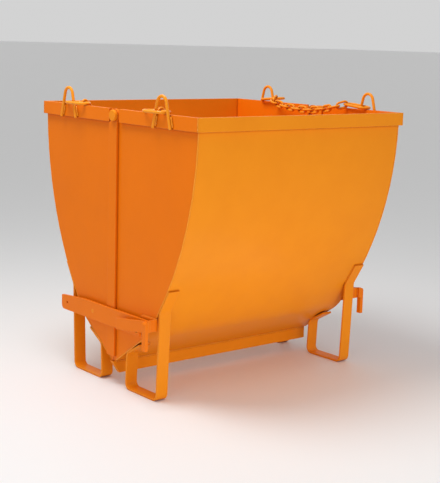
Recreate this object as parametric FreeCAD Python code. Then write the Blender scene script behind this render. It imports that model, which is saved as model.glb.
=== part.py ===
import FreeCAD, Part
import math
import os

# Clamshell hoist bucket, in millimetres. +X runs along the hinge from the left end to the right end, the rear
# half is at +Y and the front half at -Y, +Z is up, and the origin lies on the floor under the bucket's middle.
# The front half turns on two pins in the rear half. A lever at each end latches the halves together at the
# bottom. Sizes written for the rear half and the left end are mirrored to the others.

# Shells
shell_half_length = 508.0
shell_half_depth = 503.0
rim_top = 1078.0
sheet = 3.0
end_overlap_gap = 0.5
seam_half_gap = 1.0

# Side wall outline: a line falls from the rim to the shoulder, one slants to the knee, one slants to the lip
shoulder_height_share = 0.524
knee_height_share = 0.140
knee_depth_share = 0.4135
shoulder_bend_share = 0.92
knee_bend_share = 0.07
fillet_limit_share = 0.95

# Lips under the sheets' lower edges
lip_bottom = 44.0
lip_height = 50.0
lip_thickness = 7.5
lip_half_gap = 0.5
lip_left_overhang = 10.0
lip_left_chamfer = 33.0

# Rim bars
rim_height = 50.0
rim_thickness = 12.0
rim_end_clearance = 8.0

# Seam strips and hinge
strip_width = 50.0
strip_offset = 10.0
strip_thickness = 10.0
strip_rise = 22.0
strip_rim_gap = 1.0
hinge_pin_radius = 10.0
hinge_head_radius = 21.5
hinge_head_height = 12.0
hinge_head_round = 3.0
hinge_notch_clearance = 4.0
lug_thickness = 8.0
lug_half_height = 22.0
lug_length = 70.0
running_clearance = 0.05
side_clearance = 0.3
washer_thickness = 2.5
washer_overhang = 8.0
cotter_radius = 1.6
cotter_hole_clearance = 0.2
cotter_edge = 1.4
cotter_overhang = 5.0
pin_end_length = 2.0

# Lifting loops of round bar on the end rims
loop_wire_radius = 6.0
loop_place = 312.0
loop_spread = 106.0
loop_arch_radius = 28.0
loop_rise = 36.0
loop_drop = 52.0

# Long links through the lifting loops
ring_wire_radius = 6.0
ring_length = 134.0
ring_width = 64.0
ring_reach = 18.0
ring_side_gap = 1.5
seat_gap = 0.3

# Chain
chain_wire_radius = 4.75
chain_link_width = 34.0
chain_pitch = 37.7
right_half_count = 7
left_half_count = 9
chain_joint_gap = 0.3
right_hook_angle = 60.0
right_second_angle = 20.0
left_hook_angle = 45.0
left_hook_share = 0.2

# Feet of bent flat bar
foot_width = 50.0
foot_thickness = 8.0
foot_inner_radius = 20.0
foot_top_height = 436.0
foot_bend_height = 350.0
foot_outer_place = 288.0
foot_inner_place = 79.0
foot_inner_lean = 7.0
foot_tab_place = 170.0
foot_tab_gap = 10.0
foot_bed = 0.6

# Latch levers
lever_thickness = 10.0
lever_strip_gap = 2.0
lever_bottom = 239.0
lever_height = 70.0
lever_tail_height = 58.0
lever_tail_reach = 352.0
lever_taper_start = 190.0
lever_nose_gap = 14.0
lever_corner_radius = 18.0
lever_top_corner_radius = 5.0
lever_pivot_place = 120.0
lever_pivot_rise = 34.0
lever_pin_radius = 8.0
rope_hole_radius = 6.0
rope_hole_inset = 42.0
rope_hole_rise = 32.0
bush_wall = 6.0
bush_lever_gap = 1.5
bush_inner_reach = 9.0
notch_half_width = 8.0
notch_depth = 46.0
tooth_width = 20.0
tooth_clearance = 2.6

# Catch on the front half
catch_pin_radius = 6.0
catch_pin_inset = 77.0
catch_pin_rise = 23.0
bracket_thickness = 8.0
bracket_inner_reach = 30.0
bracket_foot_gap = 4.0
bracket_below = 22.0
bracket_corner = 12.0
strap_thickness = 10.0
strap_height = 44.0
strap_drop = 15.0
strap_rise = 29.0
strap_inner_reach = 86.0
post_overhang = 11.0
strap_lever_gap = 17.0
post_width = 20.0
post_depth = 15.0
post_bottom = 207.0
post_corner_radius = 12.0

# Worked out from the sizes above
overrun = sheet
tolerance = sheet / 1000
hinge_height = rim_top - rim_height / 2
lip_top = lip_bottom + lip_height
lip_face = lip_half_gap + lip_thickness
rim_stop = strip_width / 2 + rim_end_clearance
front_half_length = shell_half_length - end_overlap_gap
strip_face = shell_half_length + strip_thickness
chain_bend_radius = chain_link_width / 2 - chain_wire_radius
lever_face = strip_face + lever_strip_gap
lever_outer_face = lever_face + lever_thickness
lever_pivot_height = lever_bottom + lever_pivot_rise
catch_pin_height = lever_bottom + catch_pin_rise
strap_face = lever_outer_face + strap_lever_gap
strap_outer_face = strap_face + strap_thickness

LEFT = -1
RIGHT = 1
REAR = 1
FRONT = -1
ENDS = (("left", LEFT), ("right", RIGHT))
X_AXIS = FreeCAD.Vector(1, 0, 0)
Y_AXIS = FreeCAD.Vector(0, 1, 0)
Z_AXIS = FreeCAD.Vector(0, 0, 1)
ORIGIN = FreeCAD.Vector(0, 0, 0)


def vec(x, y, z):
    return FreeCAD.Vector(x, y, z)


def cross_point(y, z):
    """A point of an outline drawn in the YZ plane."""
    return FreeCAD.Vector(0, y, z)


def bend_points(before, corner, after, run):
    """Start, middle and end of the arc that rounds a corner, run away from it on both sides."""
    back = (before - corner).normalize()
    ahead = (after - corner).normalize()
    half = back.getAngle(ahead) / 2
    radius = run * math.tan(half)
    middle_line = (back + ahead).normalize()
    middle = corner + middle_line * (radius / math.sin(half) - radius)
    return corner + back * run, middle, corner + ahead * run


def rounded_edges(points, radii):
    """Edges of an open outline whose inner corners are rounded. radii has one value for each inner corner."""
    edges = []
    last = points[0]
    for index in range(1, len(points) - 1):
        corner = points[index]
        radius = radii[index - 1]
        if radius == 0:
            edges.append(Part.LineSegment(last, corner).toShape())
            last = corner
            continue
        turn = (points[index - 1] - corner).getAngle(points[index + 1] - corner)
        run = radius / math.tan(turn / 2)
        start, middle, end = bend_points(points[index - 1], corner, points[index + 1], run)
        if (start - last).Length > tolerance:
            edges.append(Part.LineSegment(last, start).toShape())
        edges.append(Part.Arc(start, middle, end).toShape())
        last = end
    edges.append(Part.LineSegment(last, points[-1]).toShape())
    return edges


def offset_right(points, distance):
    """The same open outline in the YZ plane, moved to the right of its direction of travel."""
    moved = []
    for index, point in enumerate(points):
        sides = []
        if index > 0:
            sides.append((point - points[index - 1]).normalize())
        if index < len(points) - 1:
            sides.append((points[index + 1] - point).normalize())
        normals = [cross_point(side.z, -side.y) for side in sides]
        if len(normals) == 1:
            moved.append(point + normals[0] * distance)
            continue
        middle = (normals[0] + normals[1]).normalize()
        moved.append(point + middle * (distance / middle.dot(normals[0])))
    return moved


def offset_radii(points, radii, distance):
    """Corner radii after the move: smaller where the outline turns right, larger where it turns left."""
    changed = []
    for index, radius in enumerate(radii):
        before = points[index + 1] - points[index]
        after = points[index + 2] - points[index + 1]
        right_turn = before.y * after.z - before.z * after.y < 0
        changed.append(radius - distance if right_turn else radius + distance)
    return changed


def prism(edges, x_from, x_to):
    """A closed outline in the YZ plane pulled from one X to another."""
    wire = Part.Wire(Part.__sortEdges__(edges))
    wire.translate(vec(x_from, 0, 0))
    return Part.Face(wire).extrude(vec(x_to - x_from, 0, 0))


def polygon_prism(points, x_from, x_to, radii=None):
    """A closed polygon in the YZ plane, its corners rounded where radii says, pulled along X."""
    ring = list(points) + [points[0]]
    if radii is None:
        wire = Part.makePolygon(ring)
        wire.translate(vec(x_from, 0, 0))
        return Part.Face(wire).extrude(vec(x_to - x_from, 0, 0))
    start = (points[0] + points[1]) * 0.5
    open_ring = [start] + list(points[1:]) + [points[0], start]
    corner_radii = list(radii[1:]) + [radii[0]]
    return prism(rounded_edges(open_ring, corner_radii), x_from, x_to)


def box(x_from, x_to, y_from, y_to, z_from, z_to):
    size = vec(abs(x_to - x_from), abs(y_to - y_from), abs(z_to - z_from))
    corner = vec(min(x_from, x_to), min(y_from, y_to), min(z_from, z_to))
    return Part.makeBox(size.x, size.y, size.z, corner)


def rod(x_from, x_to, radius, y, z):
    """A round bar along X."""
    return Part.makeCylinder(radius, abs(x_to - x_from), vec(min(x_from, x_to), y, z), X_AXIS)


def mirrored(shape, end, half=REAR):
    """A shape drawn for the left end of the rear half, moved to another end and half by mirroring."""
    result = shape
    if end == RIGHT:
        result = result.mirror(ORIGIN, X_AXIS)
    if half == FRONT:
        result = result.mirror(ORIGIN, Y_AXIS)
    return result


def pipe(edges, radius):
    """A round bar along joined edges."""
    path = Part.Wire(edges)
    first = path.OrderedEdges[0]
    start = first.valueAt(first.FirstParameter)
    direction = first.tangentAt(first.FirstParameter)
    circle = Part.Wire(Part.makeCircle(radius, start, direction))
    return path.makePipeShell([circle], True, False)


def oblong(straight, bend_radius, wire_radius):
    """A long closed link of round wire, its length along X, its plane XY, centred on the origin."""
    parts = []
    for side in (LEFT, RIGHT):
        bar_start = vec(-straight / 2, side * bend_radius, 0)
        parts.append(Part.makeCylinder(wire_radius, straight, bar_start, X_AXIS))
        centre = vec(side * straight / 2, 0, 0)
        turn = Part.makeTorus(bend_radius, wire_radius, ORIGIN, Z_AXIS, -180, 180, 180)
        turn.rotate(ORIGIN, Z_AXIS, -90 * side)
        turn.translate(centre)
        parts.append(turn)
    link = parts[0].fuse(parts[1:]).removeSplitter()
    return link.Solids[0]


def turned(shape, direction, normal):
    """Turn a link so that its length runs along direction and its plane has the given normal."""
    side = normal.cross(direction)
    matrix = FreeCAD.Matrix()
    matrix.A11, matrix.A21, matrix.A31 = direction.x, direction.y, direction.z
    matrix.A12, matrix.A22, matrix.A32 = side.x, side.y, side.z
    matrix.A13, matrix.A23, matrix.A33 = normal.x, normal.y, normal.z
    placed = shape.copy()
    placed.Placement = FreeCAD.Placement(matrix)
    return placed


# Side wall outline

def wall_corners():
    """Corner points of the outer face in the YZ plane, from the rim down to the lip."""
    height = rim_top - lip_top
    shoulder = cross_point(shell_half_depth, lip_top + height * shoulder_height_share)
    knee = cross_point(shell_half_depth * knee_depth_share, lip_top + height * knee_height_share)
    return [cross_point(shell_half_depth, rim_top), shoulder, knee, cross_point(lip_face, lip_top)]


def wall_radii(corners):
    slant = (corners[2] - corners[1]).Length
    upright = (corners[1] - corners[0]).Length
    runs = (min(shoulder_bend_share * slant, fillet_limit_share * upright), knee_bend_share * slant)
    radii = []
    for index, run in enumerate(runs):
        turn = (corners[index] - corners[index + 1]).getAngle(corners[index + 2] - corners[index + 1])
        radii.append(run * math.tan(turn / 2))
    return radii


def wall_inner_corners(corners):
    """The outline moved in by the sheet's thickness and run on down to the top of the lip."""
    inner = offset_right(corners, sheet)
    slope = (inner[3] - inner[2]).normalize()
    inner[3] = inner[3] + slope * ((lip_top - inner[3].z) / slope.z)
    return inner


def shell_outline_edges():
    corners = wall_corners()
    return rounded_edges(corners, wall_radii(corners))


def side_wall(half_length):
    corners = wall_corners()
    radii = wall_radii(corners)
    inner = wall_inner_corners(corners)
    edges = rounded_edges(corners, radii)
    edges += rounded_edges(inner, offset_radii(corners, radii, sheet))
    edges.append(Part.LineSegment(corners[0], inner[0]).toShape())
    edges.append(Part.LineSegment(corners[3], inner[3]).toShape())
    return prism(edges, -half_length, half_length)


def shell_space():
    """Everything inside the outer face of the rear half, wider than the bucket, for cutting feet to it."""
    edges = shell_outline_edges()
    corners = wall_corners()
    foot_line = cross_point(0, lip_top)
    top_line = cross_point(0, rim_top)
    edges.append(Part.LineSegment(corners[3], foot_line).toShape())
    edges.append(Part.LineSegment(foot_line, top_line).toShape())
    edges.append(Part.LineSegment(top_line, corners[0]).toShape())
    return prism(edges, -2 * shell_half_length, 2 * shell_half_length)


def end_plate(outer_face):
    """Left end plate of the rear half. Its top slants back from the hinge so that the halves can turn."""
    corners = wall_corners()
    edges = shell_outline_edges()
    notch = hinge_pin_radius + hinge_notch_clearance
    slant = math.atan2(rim_top - hinge_height, rim_stop)
    low_angle = -math.acos(seam_half_gap / notch)
    middle_angle = (slant + low_angle) / 2
    arc_points = []
    for angle in (low_angle, middle_angle, slant):
        arc_points.append(cross_point(notch * math.cos(angle), hinge_height + notch * math.sin(angle)))
    seam_foot = cross_point(seam_half_gap, lip_top)
    top_stop = cross_point(rim_stop, rim_top)
    edges.append(Part.LineSegment(corners[3], seam_foot).toShape())
    edges.append(Part.LineSegment(seam_foot, arc_points[0]).toShape())
    edges.append(Part.Arc(*arc_points).toShape())
    edges.append(Part.LineSegment(arc_points[2], top_stop).toShape())
    edges.append(Part.LineSegment(top_stop, corners[0]).toShape())
    return prism(edges, -outer_face, -outer_face + sheet)


# Rim, lips, strips and hinge

def rim_side(half_length):
    outer_y = shell_half_depth + rim_thickness
    outer_x = half_length + rim_thickness
    bottom = rim_top - rim_height
    points = [vec(-outer_x, outer_y, bottom), vec(outer_x, outer_y, bottom),
              vec(half_length, shell_half_depth, bottom), vec(-half_length, shell_half_depth, bottom)]
    return Part.Face(Part.makePolygon(points + [points[0]])).extrude(vec(0, 0, rim_height))


def rim_end(half_length):
    outer_y = shell_half_depth + rim_thickness
    outer_x = half_length + rim_thickness
    bottom = rim_top - rim_height
    points = [vec(-outer_x, outer_y, bottom), vec(-half_length, shell_half_depth, bottom),
              vec(-half_length, rim_stop, bottom), vec(-outer_x, rim_stop, bottom)]
    return Part.Face(Part.makePolygon(points + [points[0]])).extrude(vec(0, 0, rim_height))


def lip(half_length):
    """Upright flat bar under the sheet's edge. Its left end stands out at the top and is cut on the slant."""
    left = half_length + lip_left_overhang
    points = [vec(-left, lip_half_gap, lip_top), vec(half_length, lip_half_gap, lip_top),
              vec(half_length, lip_half_gap, lip_bottom),
              vec(-left + lip_left_chamfer, lip_half_gap, lip_bottom)]
    return Part.Face(Part.makePolygon(points + [points[0]])).extrude(vec(0, lip_thickness, 0))


def seam_strip():
    """Flat bar over the left seam, more of it on the rear half. It narrows under the rim to an eye at the hinge."""
    half_width = strip_width / 2
    front = strip_offset - half_width
    shoulder = rim_top - rim_height - strip_rim_gap
    bar = box(-strip_face, -shell_half_length, front, strip_offset + half_width, lip_top + strip_rise, shoulder)
    neck = box(-strip_face, -shell_half_length, front, half_width, shoulder - overrun, hinge_height)
    eye = rod(-strip_face, -shell_half_length, half_width, 0, hinge_height)
    strip = bar.fuse([neck, eye]).removeSplitter()
    bore = rod(-strip_face - overrun, -shell_half_length + overrun, hinge_pin_radius, 0, hinge_height)
    return strip.cut(bore).Solids[0]


def pin_stack(inner_face):
    """Washer faces, cotter line and pin end inside a bearing's inner face, as distances from the middle."""
    washer_outer = inner_face - side_clearance
    washer_inner = washer_outer - washer_thickness
    cotter_line = washer_inner - cotter_radius - cotter_edge
    pin_end = cotter_line - cotter_radius - pin_end_length
    return washer_outer, washer_inner, cotter_line, pin_end


def cotter_hole(cotter_line, pin_radius, y, z):
    length = 2 * (pin_radius + overrun)
    start = vec(-cotter_line, y, z - length / 2)
    return Part.makeCylinder(cotter_radius + cotter_hole_clearance, length, start, Z_AXIS)


def washer(stack, pin_radius, y, z):
    disc = rod(-stack[0], -stack[1], pin_radius + washer_overhang, y, z)
    return disc.cut(rod(-stack[0] - overrun, -stack[1] + overrun, pin_radius + running_clearance, y, z))


def cotter(stack, pin_radius, y, z):
    """Split pin shown as one round pin with an eye on top."""
    reach = pin_radius + cotter_overhang
    shank = Part.makeCylinder(cotter_radius, 2 * reach, vec(-stack[2], y, z - reach), Z_AXIS)
    eye_radius = 2 * cotter_radius
    eye_centre = vec(-stack[2], y, z + reach + eye_radius)
    eye = Part.makeTorus(eye_radius, cotter_radius, eye_centre, X_AXIS)
    return shank.fuse(eye).removeSplitter().Solids[0]


hinge_stack = pin_stack(front_half_length - sheet - lug_thickness)
bush_inner_face = shell_half_length - sheet - bush_inner_reach
lever_stack = pin_stack(bush_inner_face)


def hinge_pin():
    head_face = strip_face + hinge_head_height
    shank = rod(-strip_face, -hinge_stack[3], hinge_pin_radius, 0, hinge_height)
    head = rod(-head_face, -strip_face, hinge_head_radius, 0, hinge_height)
    rim_edges = [edge for edge in head.Edges if abs(edge.BoundBox.XMax + head_face) < tolerance]
    head = head.makeFillet(hinge_head_round, rim_edges)
    pin = shank.fuse(head).removeSplitter().Solids[0]
    return pin.cut(cotter_hole(hinge_stack[2], hinge_pin_radius, 0, hinge_height)).Solids[0]


def hinge_lug():
    """Left ear of the front half, drawn at -Y inside its end plate."""
    outer = -(front_half_length - sheet)
    inner = outer + lug_thickness
    bar = box(outer, inner, -lug_length, 0, hinge_height - lug_half_height, hinge_height + lug_half_height)
    lug = bar.fuse(rod(outer, inner, lug_half_height, 0, hinge_height)).removeSplitter()
    bore_radius = hinge_pin_radius + running_clearance
    return lug.cut(rod(outer - overrun, inner + overrun, bore_radius, 0, hinge_height)).Solids[0]


# Lifting loops, long links and chain

def loop_line(half_length):
    """X of the middle of the round bar, as a distance from X 0."""
    return half_length + rim_thickness + loop_wire_radius


def lifting_loop(half_length):
    x = -loop_line(half_length)
    arch_z = rim_top + loop_rise
    foot_z = rim_top - loop_drop
    half_spread = loop_spread / 2
    drop = arch_z - foot_z
    reach = math.hypot(half_spread, drop)
    angle = math.acos(loop_arch_radius / reach) - math.atan2(drop, half_spread)
    side_y = loop_arch_radius * math.cos(angle)
    side_z = arch_z + loop_arch_radius * math.sin(angle)
    near_foot = vec(x, loop_place - half_spread, foot_z)
    near_side = vec(x, loop_place - side_y, side_z)
    top = vec(x, loop_place, arch_z + loop_arch_radius)
    far_side = vec(x, loop_place + side_y, side_z)
    far_foot = vec(x, loop_place + half_spread, foot_z)
    edges = [Part.LineSegment(near_foot, near_side).toShape(), Part.Arc(near_side, top, far_side).toShape(),
             Part.LineSegment(far_side, far_foot).toShape()]
    return pipe(edges, loop_wire_radius)


ring_bend_radius = ring_width / 2 - ring_wire_radius
ring_axis_length = ring_length - 2 * ring_wire_radius
ring_pivot_place = loop_place + ring_reach - ring_wire_radius
ring_pivot_height = rim_top + ring_wire_radius + seat_gap
chain_rest_height = rim_top + chain_link_width / 2 + seat_gap
raised_ring_tilt = math.degrees(math.asin((chain_rest_height - ring_pivot_height) / ring_axis_length))


def ring_line(half_length):
    """X of the middle of a long link: its outer wire hangs just outside the leg of the lifting loop."""
    outer_wire = loop_line(half_length) + loop_wire_radius + ring_side_gap + ring_wire_radius
    return outer_wire - ring_bend_radius


def ring_point(x, side, along, tilt):
    """A point of a rear link: side is outward in X from its middle, along runs from the pivot to the hinge."""
    reach = along * math.cos(math.radians(tilt))
    rise = along * math.sin(math.radians(tilt))
    return vec(x + side, ring_pivot_place - reach, ring_pivot_height + rise)


def sling_link(half_length, tilt):
    """Long link on the left end of the rear half, hinge end raised by tilt degrees."""
    direction = vec(0, -math.cos(math.radians(tilt)), math.sin(math.radians(tilt)))
    normal = vec(0, math.sin(math.radians(tilt)), math.cos(math.radians(tilt)))
    link = oblong(ring_axis_length - 2 * ring_bend_radius, ring_bend_radius, ring_wire_radius)
    link = turned(link, direction, normal)
    link.translate(ring_point(-ring_line(half_length), 0, ring_axis_length / 2, tilt))
    return link


chain_inner_length = chain_pitch + chain_joint_gap
link_straight = chain_inner_length + 2 * chain_wire_radius - 2 * chain_bend_radius
joint_length = 2 * chain_bend_radius - 2 * chain_wire_radius - chain_joint_gap
hook_length = chain_bend_radius - chain_wire_radius - ring_wire_radius - chain_joint_gap


def chain_link(centre, direction, normal):
    link = turned(oblong(link_straight, chain_bend_radius, chain_wire_radius), direction, normal)
    link.translate(centre)
    return link


def run_direction(heading, slope):
    """Towards the seam from a rear right link, turned inward by heading and down by slope, in radians."""
    level = math.cos(slope)
    return vec(-math.sin(heading) * level, -math.cos(heading) * level, -math.sin(slope))


def hanging_half(start, headings, slope_step, standing_first):
    """Places of the links from the end links to the middle one, each (centre, direction, normal).

    start is the centre of the first link's first bend. Slopes fall to zero at the middle as in a hanging
    chain. Links stand upright and lie flat by turns, and each joint takes its heading from the upright link
    and its slope from the flat one, so that no wires meet.
    """
    count = len(headings)
    places = []
    here = start
    for index, heading in enumerate(headings):
        slope = math.atan(slope_step * (count - 1 - index))
        direction = run_direction(heading, slope)
        standing = (index % 2 == 0) == standing_first
        upright_normal = vec(math.cos(heading), -math.sin(heading), 0)
        normal = upright_normal if standing else direction.cross(upright_normal)
        places.append((here + direction * (link_straight / 2), direction, normal))
        if index == count - 1:
            break
        here = here + direction * link_straight
        next_slope = math.atan(slope_step * (count - 2 - index))
        joint_heading = heading if standing else headings[index + 1]
        joint_slope = next_slope if standing else slope
        here = here + run_direction(joint_heading, joint_slope) * joint_length
    return places


def settle(start, headings, standing_first):
    """Choose the slopes so that the middle link lies on the centre plane."""
    low, high = 0.0, 4.0
    for _ in range(60):
        step = (low + high) / 2
        middle = hanging_half(start, headings, step, standing_first)[-1][0]
        if middle.y < 0:
            low = step
        else:
            high = step
    return hanging_half(start, headings, step, standing_first)


def both_halves(places):
    """Links of one half, then their mirror images in the centre plane. The middle link comes once."""
    links = [chain_link(*place) for place in places]
    for centre, direction, normal in places[:-1]:
        links.append(chain_link(centre, direction, normal).mirror(ORIGIN, Y_AXIS))
    return Part.makeCompound(links)


def right_chain():
    """Hangs inside the right end from the inner quarters of the links' hinge ends."""
    hook = math.radians(right_hook_angle)
    along = ring_axis_length - ring_bend_radius + ring_bend_radius * math.cos(hook)
    wire = ring_point(ring_line(shell_half_length), -ring_bend_radius * math.sin(hook), along, raised_ring_tilt)
    start = wire + run_direction(hook, 0) * hook_length
    straight_links = right_half_count - 2
    headings = [hook, math.radians(right_second_angle)] + [0] * straight_links
    return both_halves(settle(start, headings, True))


def left_chain():
    """Hangs inside the left end from the links' inner sides. The first link leans in clear of the rim."""
    lean = math.radians(left_hook_angle)
    along = ring_axis_length - ring_bend_radius - ring_length * left_hook_share
    wire = ring_point(ring_line(shell_half_length), -ring_bend_radius, along, 0)
    first_direction = vec(-math.cos(lean), 0, -math.sin(lean))
    bend = wire + first_direction * hook_length
    first_end = bend + first_direction * link_straight
    start = first_end - Z_AXIS * joint_length
    places = settle(start, [0] * (left_half_count - 1), True)
    places.insert(0, (bend + first_direction * (link_straight / 2), first_direction, Y_AXIS))
    return both_halves(places).mirror(ORIGIN, X_AXIS)


# Feet

def wall_face_point(height):
    """The point of the outer face at a height, found on its outline."""
    reach = 2 * shell_half_depth
    level = Part.LineSegment(cross_point(0, height), cross_point(reach, height)).toShape()
    outline = Part.Wire(shell_outline_edges())
    return outline.distToShape(level)[1][0][0]


def foot_tab_corners():
    """Outer face of the tab on the wall: its top and the bend where the leg starts."""
    top = wall_face_point(foot_top_height)
    bend = wall_face_point(foot_bend_height)
    tab = (bend - top).normalize()
    lift = cross_point(-tab.z, tab.y) * (foot_thickness - foot_bed)
    return top + lift, bend + lift


def foot_leg_face(height):
    """Distance from the seam to the inner face of the foot's outer leg at a height."""
    bend = foot_tab_corners()[1]
    slope = (bend.y - foot_outer_place) / bend.z
    return foot_outer_place + slope * height - foot_thickness * math.hypot(1, slope)


def foot():
    """Left foot of the rear half: a tab on the wall, a leg, the floor bar, a leg and a tab under the wall."""
    corners = wall_corners()
    under = (corners[2] - corners[3]).normalize()
    top, bend = foot_tab_corners()
    lowest = lip_top + foot_bed / under.y
    leg_top_place = foot_inner_place + foot_inner_lean
    leg_top = lowest + (leg_top_place - lip_face) * under.z / under.y
    tab_end = lowest + (foot_tab_place - lip_face) * under.z / under.y - foot_tab_gap
    points = [top, bend, cross_point(foot_outer_place, 0), cross_point(foot_inner_place, 0),
              cross_point(leg_top_place, leg_top), cross_point(foot_tab_place, tab_end)]
    radius = foot_thickness + foot_inner_radius
    radii = [radius, radius, radius, radius]
    inner = offset_right(points, foot_thickness)
    edges = rounded_edges(points, radii)
    edges += rounded_edges(inner, offset_radii(points, radii, foot_thickness))
    edges.append(Part.LineSegment(points[0], inner[0]).toShape())
    edges.append(Part.LineSegment(points[-1], inner[-1]).toShape())
    bar = prism(edges, -front_half_length, -front_half_length + foot_width)
    solids = bar.cut(shell_space()).Solids
    return max(solids, key=lambda solid: solid.Volume)


# Latch levers and catches. The catch is set by the front foot's leg, which it just clears.

catch_outer_place = foot_leg_face(catch_pin_height) - bracket_foot_gap
catch_pin_place = catch_outer_place - catch_pin_inset
lever_nose_reach = catch_outer_place - bracket_thickness - lever_nose_gap
strap_outer_reach = catch_outer_place + post_overhang


def clear_height(y):
    """Height that clears the catch pin as the front half turns, at a distance y from the seam."""
    pin_reach = math.hypot(catch_pin_place, hinge_height - catch_pin_height)
    clear_reach = pin_reach - catch_pin_radius - tooth_clearance
    return hinge_height - math.sqrt(clear_reach ** 2 - y ** 2)


def lever():
    """Left lever bar: a tail with a rope hole at the rear, a notch and a tooth over the catch pin in front."""
    top = lever_bottom + lever_height
    notch_inner = -(catch_pin_place - notch_half_width)
    notch_outer = -(catch_pin_place + notch_half_width)
    tooth_outer = notch_outer - tooth_width
    points = [cross_point(lever_tail_reach, lever_bottom),
              cross_point(notch_inner, lever_bottom),
              cross_point(notch_inner, lever_bottom + notch_depth),
              cross_point(notch_outer, lever_bottom + notch_depth),
              cross_point(notch_outer, clear_height(notch_outer)),
              cross_point(tooth_outer, clear_height(tooth_outer)),
              cross_point(-lever_nose_reach, clear_height(lever_nose_reach)),
              cross_point(-lever_nose_reach, top),
              cross_point(lever_taper_start, top),
              cross_point(lever_tail_reach, lever_bottom + lever_tail_height)]
    square_corners = [0] * (len(points) - 2)
    corner_radii = [lever_corner_radius] + square_corners + [lever_top_corner_radius]
    bar = polygon_prism(points, -lever_outer_face, -lever_face, corner_radii)
    pivot = rod(-lever_outer_face - overrun, -lever_face + overrun, lever_pin_radius, lever_pivot_place,
                lever_pivot_height)
    rope = rod(-lever_outer_face - overrun, -lever_face + overrun, rope_hole_radius,
               lever_tail_reach - rope_hole_inset, lever_bottom + rope_hole_rise)
    return bar.cut([pivot, rope]).Solids[0]


def lever_pin():
    pin = rod(-lever_outer_face, -lever_stack[3], lever_pin_radius, lever_pivot_place, lever_pivot_height)
    hole = cotter_hole(lever_stack[2], lever_pin_radius, lever_pivot_place, lever_pivot_height)
    return pin.cut(hole).Solids[0]


def lever_bush():
    outer_face = lever_face - bush_lever_gap
    tube = rod(-outer_face, -bush_inner_face, lever_pin_radius + bush_wall, lever_pivot_place, lever_pivot_height)
    bore = rod(-outer_face - overrun, -bush_inner_face + overrun, lever_pin_radius + running_clearance,
               lever_pivot_place, lever_pivot_height)
    return tube.cut(bore)


def bush_hole(plate):
    hole = rod(-shell_half_length - overrun, -shell_half_length + sheet + overrun,
               lever_pin_radius + bush_wall, lever_pivot_place, lever_pivot_height)
    return plate.cut(hole).Solids[0]


def catch_bracket():
    """Left catch plate, drawn in front: a flange on the end plate and a web out to the strap."""
    inner = -(catch_pin_place - bracket_inner_reach)
    outer = -catch_outer_place
    web_low, top = strap_edges(catch_outer_place)
    points = [cross_point(inner, catch_pin_height - bracket_below), cross_point(outer, web_low),
              cross_point(outer, top), cross_point(inner - bracket_corner, top),
              cross_point(inner, top - bracket_corner)]
    flange = polygon_prism(points, -front_half_length - bracket_thickness, -front_half_length)
    web = box(-strap_face, -front_half_length - bracket_thickness, outer, outer + bracket_thickness,
              web_low, top)
    return flange.fuse(web).removeSplitter().Solids[0]


def catch_pin():
    return rod(-strap_face, -front_half_length - bracket_thickness, catch_pin_radius, -catch_pin_place,
               catch_pin_height)


def strap_edges(distance):
    """Lower and upper edge of the strap at a distance from the seam. It rises towards its outer end."""
    share = (distance - strap_inner_reach) / (strap_outer_reach - strap_inner_reach)
    low = catch_pin_height - strap_drop + strap_rise * share
    return low, low + strap_height


def catch_strap():
    points = []
    for distance, edge in ((strap_inner_reach, 0), (strap_outer_reach, 0), (strap_outer_reach, 1),
                           (strap_inner_reach, 1)):
        points.append(cross_point(-distance, strap_edges(distance)[edge]))
    return polygon_prism(points, -strap_outer_face, -strap_face)


def catch_post():
    outer = -strap_outer_face - post_depth
    inner = -strap_outer_face
    front = -strap_outer_reach
    post_top = strap_edges(strap_outer_reach - post_width)[1]
    points = [vec(outer, front, post_bottom), vec(inner, front, post_bottom), vec(inner, front, post_top),
              vec(outer, front, post_top)]
    post = Part.Face(Part.makePolygon(points + [points[0]])).extrude(vec(0, post_width, 0))
    corner = [edge for edge in post.Edges if edge.BoundBox.XMax < outer + tolerance
              and edge.BoundBox.ZMin > post_top - tolerance]
    return post.makeFillet(post_corner_radius, corner)


def rear_half():
    nodes = {"rear_wall": side_wall(shell_half_length - sheet),
             "rear_rim_side": rim_side(shell_half_length),
             "rear_lip": lip(shell_half_length)}
    for name, end in ENDS:
        nodes["rear_end_plate_" + name] = mirrored(bush_hole(end_plate(shell_half_length)), end)
        nodes["rear_rim_end_" + name] = mirrored(rim_end(shell_half_length), end)
        nodes["rear_loop_" + name] = mirrored(lifting_loop(shell_half_length), end)
        nodes["rear_foot_" + name] = mirrored(foot(), end)
        nodes["seam_strip_" + name] = mirrored(seam_strip(), end)
        nodes["hinge_pin_" + name] = mirrored(hinge_pin(), end)
        nodes["lever_bush_" + name] = mirrored(lever_bush(), end)
    washers = [mirrored(washer(hinge_stack, hinge_pin_radius, 0, hinge_height), end) for _, end in ENDS]
    cotters = [mirrored(cotter(hinge_stack, hinge_pin_radius, 0, hinge_height), end) for _, end in ENDS]
    nodes["hinge_washers"] = Part.makeCompound(washers)
    nodes["hinge_cotters"] = Part.makeCompound(cotters)
    return nodes


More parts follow.
